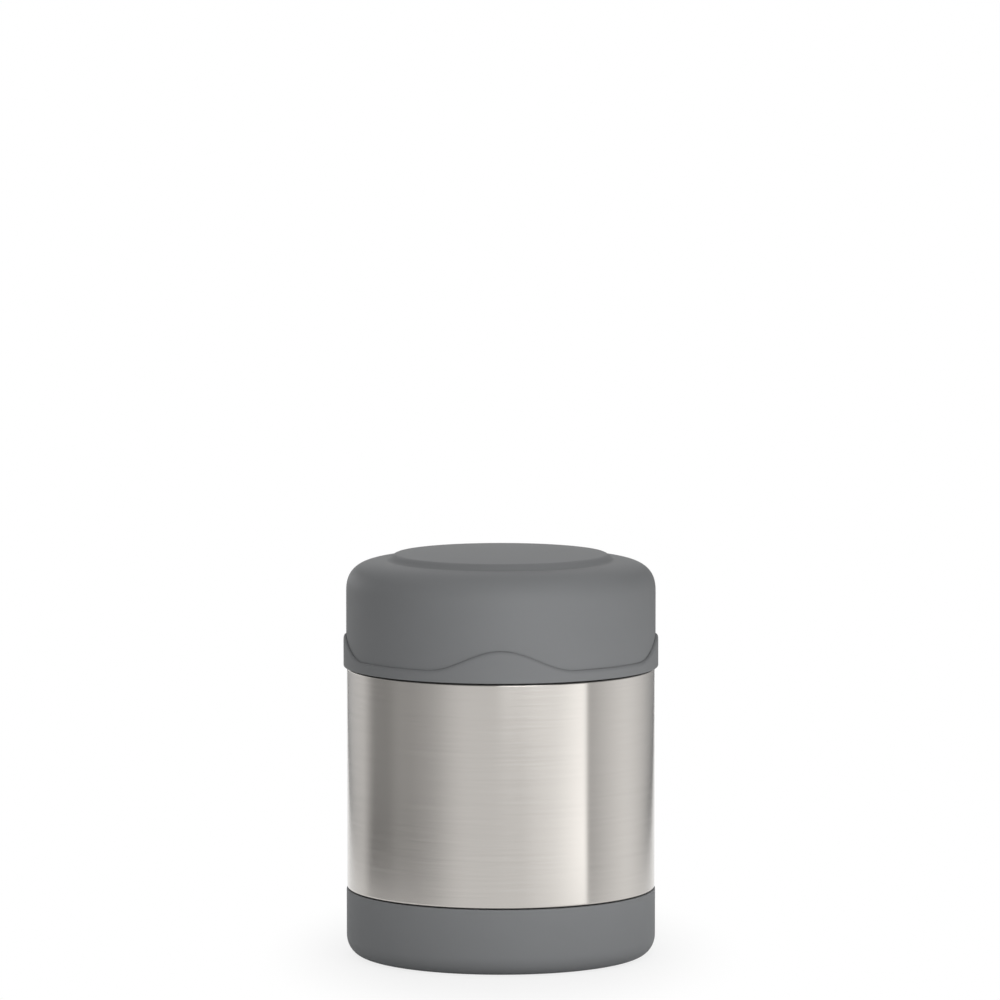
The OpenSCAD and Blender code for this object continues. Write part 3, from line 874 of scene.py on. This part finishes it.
# %% The white room
def seen_white(wire):
    """1 for camera, glossy and transmission rays, and 0 for the rays that carry soft light."""
    rays = wire.node("ShaderNodeLightPath").socket.node.outputs
    kinds = [Wire(wire.tree, rays["Is %s Ray" % kind]) for kind in ("Camera", "Glossy", "Transmission")]
    return wire.math("MINIMUM", kinds[0] + kinds[1] + kinds[2], 1.0)


ROOM = 0.50
OVERHEAD = 0.30
CEILING = 0.75, 0.95  # the upward share of a direction, where the walls' light turns into the ceiling's
world = bpy.data.worlds.new("white_room")
world.use_nodes = True
world.node_tree.nodes.clear()
bpy.context.scene.world = world
w = Wire(world.node_tree)
sky = w.node("ShaderNodeSeparateXYZ", {}, {0: w.node("ShaderNodeTexCoord", output="Generated")}, "Z")
walls, ceiling, plain_white = (
    w.node("ShaderNodeBackground", {}, {"Strength": strength, "Color": (1.0, 1.0, 1.0, 1.0)})
    for strength in (ROOM, ROOM + OVERHEAD, 1.0))
soft = w.node("ShaderNodeMixShader", {}, {0: sky.ease(*CEILING), 1: walls, 2: ceiling})
light = w.node("ShaderNodeMixShader", {}, {0: seen_white(w), 1: soft, 2: plain_white})
w.node("ShaderNodeOutputWorld", {}, {"Surface": light})
print("soft light: %.2f from the walls, %.2f from above" % (ROOM, ROOM + OVERHEAD))

# %% [markdown]
# ## Soft panels
#
# In a room that is white all round, brushed steel looks flat and pale. So a studio has panels round such a
# jar, just out of view, and the steel draws them as its tall bands. They stand in two rows on one dark
# strip: the low row is for the steel, and the high one for the lid. The strip is half a circle in front.
# Behind, it runs straight back on both sides, where its distance is divided by the sine of the angle, and
# it is open at the end. A panel is given by four compass angles, the arctangent of x over -y: 0 is the
# front and it grows to the right. It glows up from the first to the second, and dies away from the third
# to the fourth. The low key ends in a crisp edge, and the left side, where only a faint panel stands, gives
# the steel its dark band. The strip hides from the camera, and the floor inside it stays in view.

# %% The two rows of panels
PANEL_FAR = 0.17  # metres, as is the height
PANEL_HIGH = 0.26
PANEL_END = 168  # degrees
PANEL_COLUMNS = 169
LOW_STRIP, HIGH_STRIP, TOP_STRIP = 0.35, 0.50, 0.25
LOW_ROW = {  # four compass angles, strength
    "left_rear": (-175, -115, -115, -95, 0.4),
    "left": (-85, -70, -60, -40, 0.1),
    "front": (-65, -20, 15, 55, 0.55),
    "key": (10, 57, 57, 61, 1.1),
    "right": (30, 100, 90, 160, 0.7)}
HIGH_ROW = {
    "left_rear": (-175, -150, -140, -90, 1.6),
    "key": (-5, 5, 20, 42, 3.4)}

compass = np.radians(np.linspace(-PANEL_END, PANEL_END, PANEL_COLUMNS))
away = PANEL_FAR / np.where(np.abs(compass) > np.pi / 2, np.abs(np.sin(compass)), 1)
foot = np.stack([away * np.sin(compass), -away * np.cos(compass), 0 * compass], 1)
low = np.arange(PANEL_COLUMNS)
strip = np.stack([low[:-1], low[1:], low[1:] + PANEL_COLUMNS, low[:-1] + PANEL_COLUMNS], 1)
mesh = bpy.data.meshes.new("soft_panels")
mesh.from_pydata(np.vstack([foot, foot + (0, 0, PANEL_HIGH)]).tolist(), [], strip.tolist())
panels = bpy.data.objects.new("soft_panels", mesh)
bpy.context.scene.collection.objects.link(panels)
panels.visible_camera = False
print("panels in the low row:", len(LOW_ROW), "and in the high row:", len(HIGH_ROW))

# %% [markdown]
# ## Light of the panels
#
# The strip is one mesh with one material. Its light is worked out at each point from the point's compass
# angle and height, so a panel needs no mesh of its own, and its edges can be as soft as wished. Near the
# floor the low row is drawn more strongly, light and dark, because the white floor would wash it out there.

# %% The panels' light
FLOOR_WASH = 0.03  # metres above the floor, below which the low row is drawn more strongly
WASH_GAIN = 2.0
HIGH_FROM = 0.105, 0.120  # metres up, where the low row turns into the high one
TOP_FROM = 0.16, 0.19  # metres up, where the high row turns into the bare top

panel_light, w = new_finish("panel_light")
place = w.node("ShaderNodeSeparateXYZ", {}, {0: w.node("ShaderNodeTexCoord", output="Object")})
east, north, height = (Wire(w.tree, place.socket.node.outputs[axis]) for axis in "XYZ")
angle = w.math("ARCTAN2", east, 0 - north)


def row(strip, panels):
    """A row's strength round the compass: the bare strip's, and each panel's share times its strength."""
    total = strip
    for *angles, strength in panels.values():
        start, full, fade, end = np.radians(angles)
        total = angle.ease(start, full) * (1 - angle.ease(fade, end)) * strength + total
    return total


low_level = 1 + (row(LOW_STRIP, LOW_ROW) - 1) * (WASH_GAIN - height.ease(0, FLOOR_WASH))
upper, top = height.ease(*HIGH_FROM), height.ease(*TOP_FROM)
high_level = row(HIGH_STRIP, HIGH_ROW) * (1 - top) + top * TOP_STRIP
level = w.math("MAXIMUM", low_level * (1 - upper) + high_level * upper, 0.0)
glow = w.node("ShaderNodeEmission", {}, {"Color": grey(w, level), "Strength": 1.0})
w.node("ShaderNodeOutputMaterial", {}, {"Surface": glow})
mesh.materials.append(panel_light)
print("nodes in the panels' material:", len(w.tree.nodes))

# %% [markdown]
# ## Floor
#
# The floor is pale and plain. To the camera, and in the steel, it is mostly plain white. Near the jar just
# enough of its lit surface is mixed in to keep the shadow, and further off it turns wholly white.

# %% The floor's finish
NEAR_WHITE = 0.78
FLOOR_COLOUR = (0.85, 0.85, 0.85, 1.0)
SHADOW_SHAPE = (1.5, 0.8, 1.0)  # the shadow fades sooner to the sides than to the front and back
SHADOW_FADE = 0.045, 0.11  # metres from the axis, in the stretched measure

floor_finish, w = new_finish("pale_floor_finish")
lit = w.node("ShaderNodeBsdfDiffuse", {}, {"Color": FLOOR_COLOUR})
white = w.node("ShaderNodeEmission", {}, {"Strength": 1.0})
place = w.node("ShaderNodeTexCoord", output="Object")
stretched = w.node("ShaderNodeVectorMath", {"operation": "MULTIPLY"}, {0: place, 1: SHADOW_SHAPE})
far = w.node("ShaderNodeVectorMath", {"operation": "LENGTH"}, {0: stretched}, "Value")
share = NEAR_WHITE + far.ease(*SHADOW_FADE) * (1 - NEAR_WHITE)
mixed = w.node("ShaderNodeMixShader", {}, {0: seen_white(w) * share, 1: lit, 2: white})
w.node("ShaderNodeOutputMaterial", {}, {"Surface": mixed})
white_from = [SHADOW_FADE[1] / MM / stretch for stretch in SHADOW_SHAPE[:2]]
print("floor: plain white beyond %.0f mm to the sides and %.0f mm to the front" % tuple(white_from))

# %% [markdown]
# ## Floor's mesh and view
#
# The floor is one flat square, so wide that its edge lies too far off to be seen. The Standard view shows
# each colour as it was worked out, where Blender's usual view would turn this white floor grey.

# %% The floor's mesh and the view
FLOOR_HALF = 40.0

corners = [(x * FLOOR_HALF, y * FLOOR_HALF, 0) for x, y in ((-1, -1), (1, -1), (1, 1), (-1, 1))]
plane = bpy.data.meshes.new("pale_floor")
plane.from_pydata(corners, [], [(0, 1, 2, 3)])
floor = bpy.data.objects.new("pale_floor", plane)
plane.materials.append(floor_finish)
bpy.context.scene.collection.objects.link(floor)

bpy.context.scene.view_settings.view_transform = "Standard"
print("floor: a square %.0f m wide" % (2 * FLOOR_HALF))
